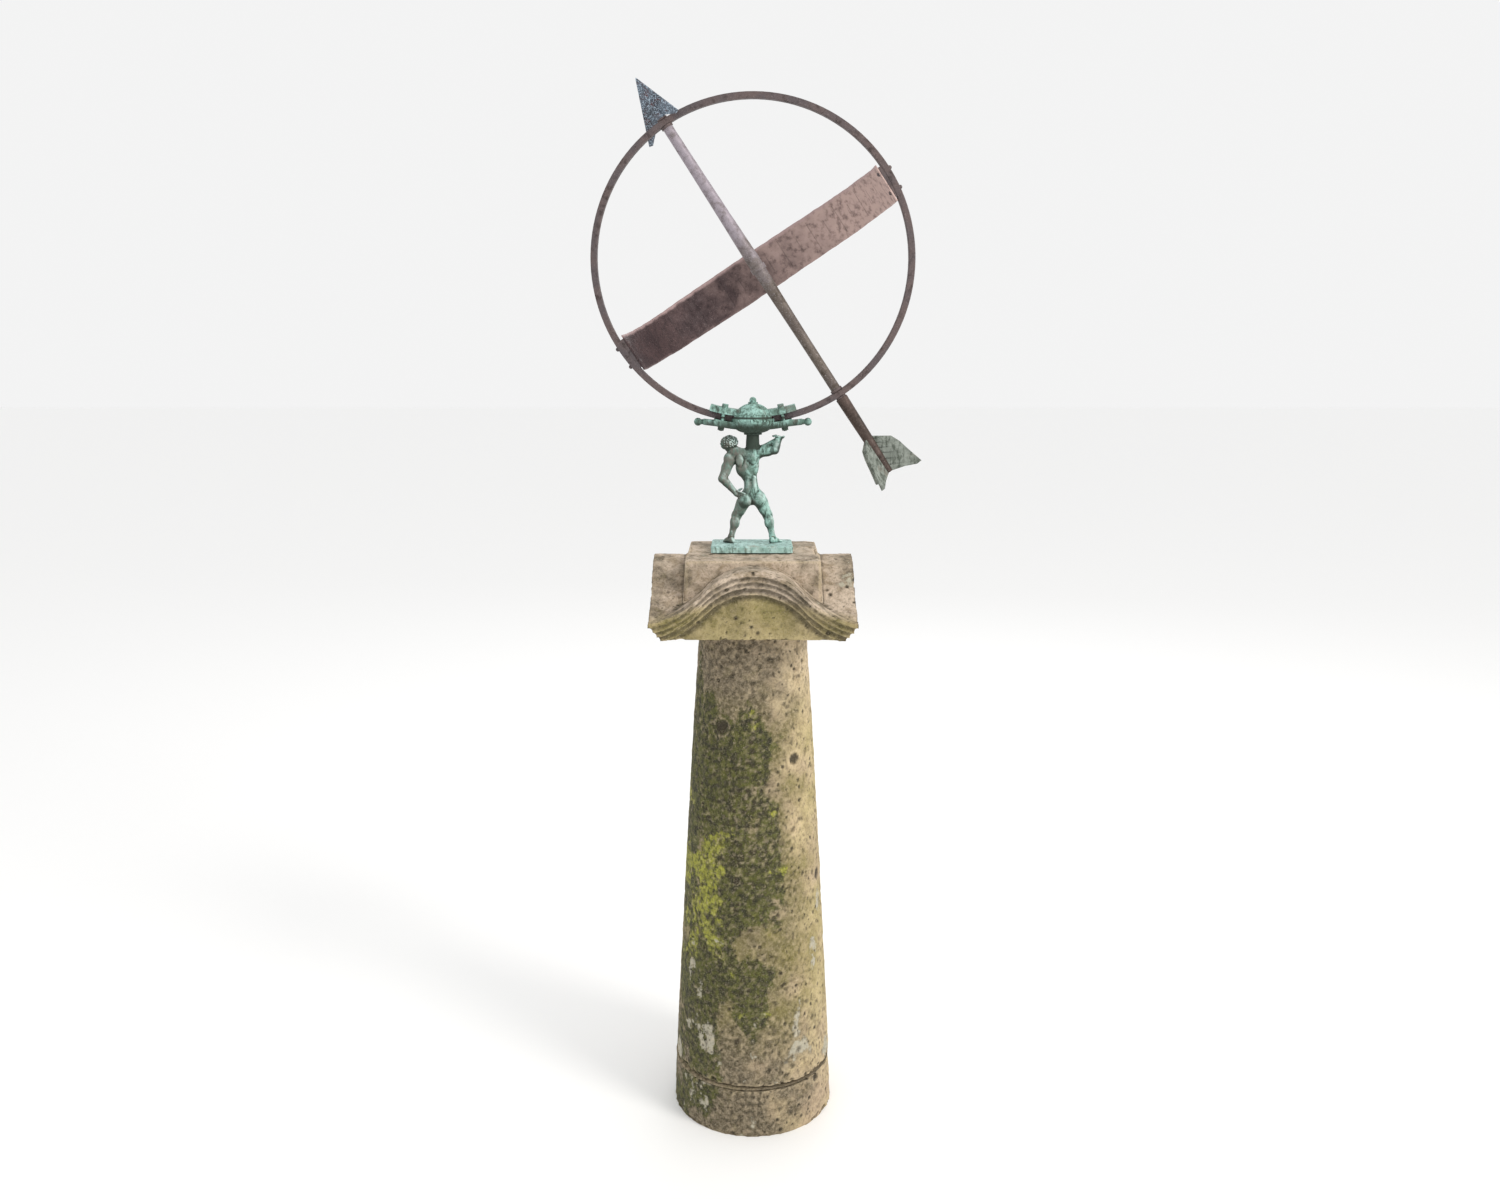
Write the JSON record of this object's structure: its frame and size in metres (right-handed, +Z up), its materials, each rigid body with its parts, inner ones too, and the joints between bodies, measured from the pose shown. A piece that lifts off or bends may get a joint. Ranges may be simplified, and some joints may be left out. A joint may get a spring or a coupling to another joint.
{
  "type": "armillary sphere",
  "caption": "Garden armillary sundial: ring, half hour band and polar arrow in a clamp on a bronze bearer figure, on a stone column with an ogee cap.",
  "frame": {"origin": "centre of the base drum's underside, on the ground under the column's axis", "axes": "+Z up along the column; the ring lies in the XZ plane with the arrow's head towards -X and up; the half hour band is on the +Y side"},
  "size_m": [0.6188, 0.471, 1.9816],
  "materials": {
    "stone": "weathered, pitted, mossy",
    "mortar": "rough",
    "dowel_steel": "plain",
    "lead": "dull",
    "verdigris_bronze": "pale green verdigris",
    "plain_bronze": "dull",
    "brown_bronze": "dark brown patina",
    "green_bronze": "grey-green patina"
  },
  "bodies": {
    "pedestal": {"base_drum": "stone", "drum_mortar": "mortar", "column_shaft": "stone", "capital_mortar": "mortar", "capital": "stone", "block_mortar": "mortar", "plinth_block": "stone", "foot_dowel": "dowel_steel", "capital_dowel": "dowel_steel", "block_dowel": "dowel_steel", "base_plate": "verdigris_bronze", "foot_pins": "plain_bronze", "fixing_studs": "plain_bronze", "lead_plugs": "lead", "atlas_figure": "verdigris_bronze", "pivot_stud": "plain_bronze", "pivot_nut": "plain_bronze", "thrust_washer": "plain_bronze"},
    "cradle": {"clamp_cup": "verdigris_bronze", "arm_knobs": "verdigris_bronze", "clamp_bar": "verdigris_bronze", "clamp_dome": "verdigris_bronze", "dome_finial": "verdigris_bronze", "clamp_bolts": "verdigris_bronze", "clamp_nuts": "verdigris_bronze", "clamp_washers": "verdigris_bronze"},
    "sphere": {"meridian_ring": "brown_bronze", "equatorial_band": "brown_bronze", "band_brackets": "brown_bronze", "band_rivets": "plain_bronze", "gnomon_rod": "brown_bronze", "gnomon_washers": "plain_bronze", "nodus_collar": "brown_bronze", "arrowhead": "brown_bronze", "tail_shaft": "brown_bronze", "tail_vane_side": "green_bronze", "tail_vane_rear": "green_bronze", "tail_vane_front": "green_bronze"}
  },
  "joints": [
    {"name": "azimuth_swivel", "type": "hinge", "parent": "pedestal", "child": "cradle", "pos_m": [0, 0, 1.345], "axis": [0, 0, 1], "continuous": true},
    {"name": "latitude_tilt", "type": "hinge", "parent": "cradle", "child": "sphere", "pos_m": [0, 0, 1.657], "axis": [0, 1, 0], "range_deg": [-22, 7]}
  ]
}
